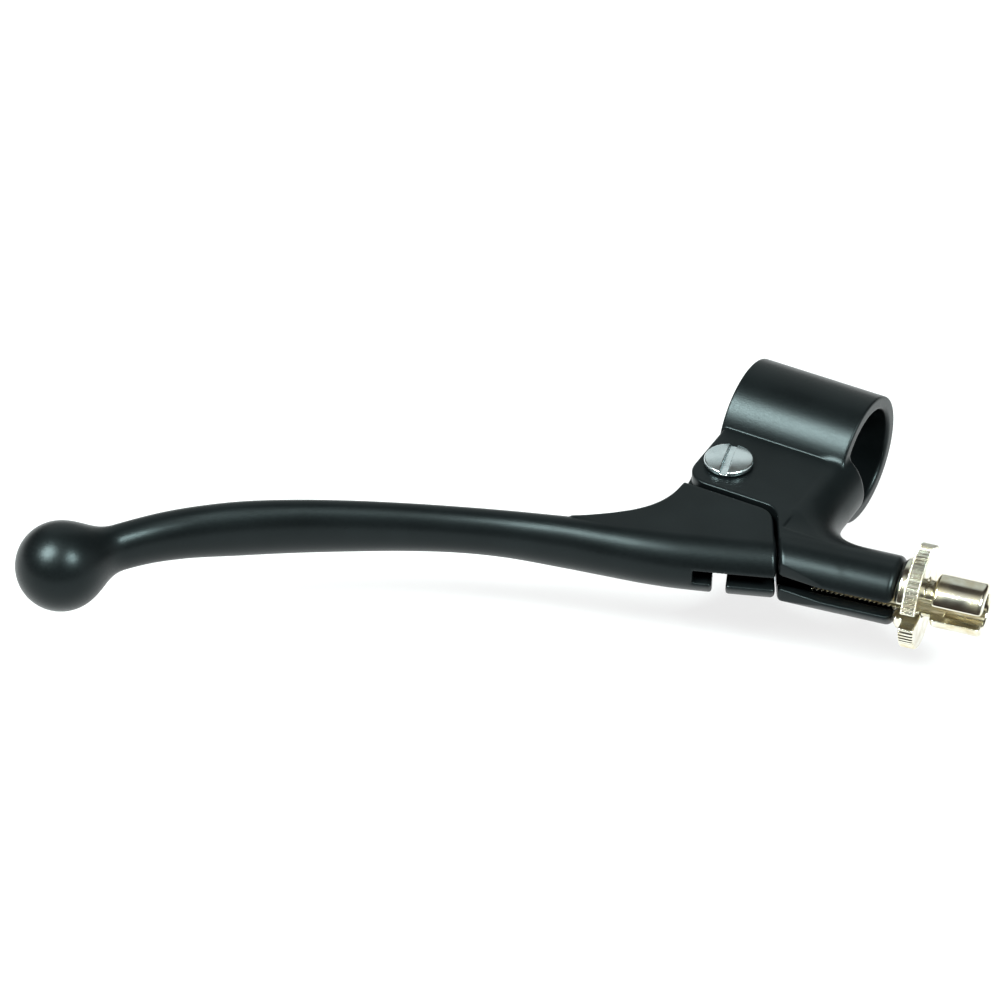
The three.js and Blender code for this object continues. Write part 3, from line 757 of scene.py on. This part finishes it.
def softbox(name, direction, distance, width, height, power, color=(1, 1, 1)):
    light = bpy.data.lights.new(name, "AREA")
    light.shape = "RECTANGLE"
    light.size = width
    light.size_y = height
    light.energy = power
    light.color = color
    lamp = bpy.data.objects.new(name, light)
    bpy.context.scene.collection.objects.link(lamp)
    d = np.array(direction) / np.linalg.norm(direction)
    lamp.location = np.array((-0.03, -0.05, 0.0)) + d * distance
    lamp.rotation_mode = "QUATERNION"
    lamp.rotation_quaternion = Vector(d).to_track_quat("Z", "Y")


def world():
    """A dim warm room with white cards, seen in reflections, and a plain pale backdrop."""
    scene_world = bpy.data.worlds.new("studio")
    bpy.context.scene.world = scene_world
    scene_world.use_nodes = True
    nodes, links = scene_world.node_tree.nodes, scene_world.node_tree.links
    back = nodes["Background"]
    direction = nodes.new("ShaderNodeTexCoord").outputs["Generated"]
    color = (0.045, 0.036, 0.030)
    cards = [
        ((-0.40, 0.76, 0.46), 32, 20, (0.62, 0.68, 0.67)),
        ((0.92, 0.35, 0.10), 34, 20, (0.62, 0.65, 0.64)),
        ((0.20, -0.20, 0.96), 26, 14, (0.75, 0.75, 0.70)),
    ]
    for centre, outer, inner, tone in cards:
        toward = nodes.new("ShaderNodeVectorMath")
        toward.operation = "DOT_PRODUCT"
        toward.inputs[1].default_value = Vector(centre).normalized()
        links.new(direction, toward.inputs[0])
        weight = ranged(nodes, links, toward.outputs["Value"], math.cos(math.radians(outer)),
                        math.cos(math.radians(inner)), 0, 1)
        color = mixed(nodes, links, weight, color, tone)
    path = nodes.new("ShaderNodeLightPath")
    links.new(mixed(nodes, links, path.outputs["Is Camera Ray"], color, (0.93, 0.93, 0.93)),
              back.inputs["Color"])


def camera():
    data = bpy.data.cameras.new("camera")
    data.sensor_width = 36
    data.lens = 151.2
    data.clip_start = 0.01
    data.clip_end = 50
    holder = bpy.data.objects.new("camera", data)
    bpy.context.scene.collection.objects.link(holder)
    right = (0.87734962, 0.47981169, 0.00619568)
    down = (0.29854081, -0.53569106, -0.78987877)
    forward = (-0.37567409, 0.6948495, -0.61323172)
    position = (0.28272, -0.65961, 0.53818)
    holder.matrix_world = Matrix((
        (right[0], -down[0], -forward[0], position[0]),
        (right[1], -down[1], -forward[1], position[1]),
        (right[2], -down[2], -forward[2], position[2]),
        (0, 0, 0, 1),
    ))
    bpy.context.scene.camera = holder


floor()
world()
softbox("key", (-0.335, -0.47, 0.82), distance=1.0, width=0.40, height=0.46, power=28,
        color=(0.88, 1.0, 0.98))
softbox("side", (0.599, -0.174, 0.780), distance=1.0, width=0.30, height=0.30, power=16,
        color=(0.86, 1.0, 0.98))
camera()
bpy.context.scene.view_settings.view_transform = "Standard"
